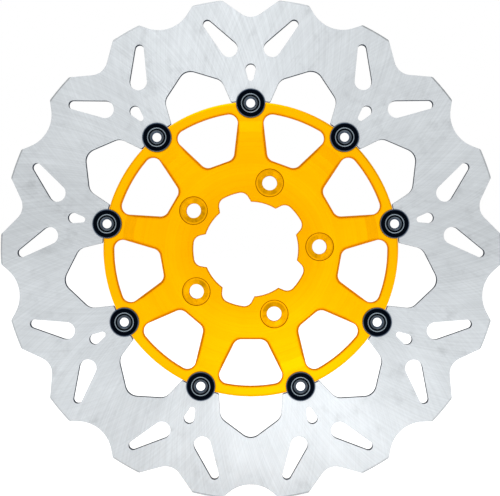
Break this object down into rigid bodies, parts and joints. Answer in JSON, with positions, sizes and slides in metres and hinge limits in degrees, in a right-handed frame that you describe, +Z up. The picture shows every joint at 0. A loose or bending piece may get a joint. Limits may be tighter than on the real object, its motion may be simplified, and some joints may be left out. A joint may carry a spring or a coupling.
{
  "type": "motorcycle brake disc rotor",
  "caption": "Floating brake disc rotor with a lobed, slotted steel friction ring on a spoked gold aluminium carrier, held by hollow flanged bobbins.",
  "frame": {"origin": "where the wheel axis meets the carrier's mounting face, in the middle of the bolt circle", "axes": "the wheel axis lies along Y with the outboard face towards -Y, +Z is up through one bobbin, +X is to the right seen from the outboard side"},
  "size_m": [0.3, 0.0113, 0.2978],
  "materials": {
    "ground_steel": "ground stainless steel with crossing grinding marks",
    "gold_anodised": "turned aluminium, gold anodised",
    "black_anodised": "turned aluminium, gloss black anodised",
    "plated_steel": "zinc plated",
    "spring_steel": "bright spring steel",
    "black_spring_steel": "phosphated spring steel"
  },
  "bodies": {
    "carrier": {"carrier": "gold_anodised"},
    "friction_ring": {"brake_disc": "ground_steel"},
    "bobbin_stack_1": {"bobbin_1": "black_anodised", "flat_washer_1": "plated_steel", "wave_washer_1": "spring_steel", "circlip_1": "black_spring_steel"},
    "bobbin_stack_2": {"bobbin_2": "black_anodised", "flat_washer_2": "plated_steel", "wave_washer_2": "spring_steel", "circlip_2": "black_spring_steel"},
    "bobbin_stack_3": {"bobbin_3": "black_anodised", "flat_washer_3": "plated_steel", "wave_washer_3": "spring_steel", "circlip_3": "black_spring_steel"},
    "bobbin_stack_4": {"bobbin_4": "black_anodised", "flat_washer_4": "plated_steel", "wave_washer_4": "spring_steel", "circlip_4": "black_spring_steel"},
    "bobbin_stack_5": {"bobbin_5": "black_anodised", "flat_washer_5": "plated_steel", "wave_washer_5": "spring_steel", "circlip_5": "black_spring_steel"},
    "bobbin_stack_6": {"bobbin_6": "black_anodised", "flat_washer_6": "plated_steel", "wave_washer_6": "spring_steel", "circlip_6": "black_spring_steel"},
    "bobbin_stack_7": {"bobbin_7": "black_anodised", "flat_washer_7": "plated_steel", "wave_washer_7": "spring_steel", "circlip_7": "black_spring_steel"},
    "bobbin_stack_8": {"bobbin_8": "black_anodised", "flat_washer_8": "plated_steel", "wave_washer_8": "spring_steel", "circlip_8": "black_spring_steel"},
    "bobbin_stack_9": {"bobbin_9": "black_anodised", "flat_washer_9": "plated_steel", "wave_washer_9": "spring_steel", "circlip_9": "black_spring_steel"}
  },
  "joints": [
    {"name": "ring_float", "type": "slide", "parent": "carrier", "child": "friction_ring", "axis": [0, 1, 0], "range_m": [-0.00015, 0.00015]},
    {"name": "bobbin_spin_1", "type": "hinge", "parent": "carrier", "child": "bobbin_stack_1", "pos_m": [0, -0.0067, 0.08735], "axis": [0, 1, 0], "continuous": true},
    {"name": "bobbin_spin_2", "type": "hinge", "parent": "carrier", "child": "bobbin_stack_2", "pos_m": [0.05615, -0.0067, 0.06691], "axis": [0, 1, 0], "continuous": true},
    {"name": "bobbin_spin_3", "type": "hinge", "parent": "carrier", "child": "bobbin_stack_3", "pos_m": [0.08602, -0.0067, 0.01517], "axis": [0, 1, 0], "continuous": true},
    {"name": "bobbin_spin_4", "type": "hinge", "parent": "carrier", "child": "bobbin_stack_4", "pos_m": [0.07565, -0.0067, -0.04367], "axis": [0, 1, 0], "continuous": true},
    {"name": "bobbin_spin_5", "type": "hinge", "parent": "carrier", "child": "bobbin_stack_5", "pos_m": [0.02987, -0.0067, -0.08208], "axis": [0, 1, 0], "continuous": true},
    {"name": "bobbin_spin_6", "type": "hinge", "parent": "carrier", "child": "bobbin_stack_6", "pos_m": [-0.02987, -0.0067, -0.08208], "axis": [0, 1, 0], "continuous": true},
    {"name": "bobbin_spin_7", "type": "hinge", "parent": "carrier", "child": "bobbin_stack_7", "pos_m": [-0.07565, -0.0067, -0.04367], "axis": [0, 1, 0], "continuous": true},
    {"name": "bobbin_spin_8", "type": "hinge", "parent": "carrier", "child": "bobbin_stack_8", "pos_m": [-0.08602, -0.0067, 0.01517], "axis": [0, 1, 0], "continuous": true},
    {"name": "bobbin_spin_9", "type": "hinge", "parent": "carrier", "child": "bobbin_stack_9", "pos_m": [-0.05615, -0.0067, 0.06691], "axis": [0, 1, 0], "continuous": true}
  ]
}
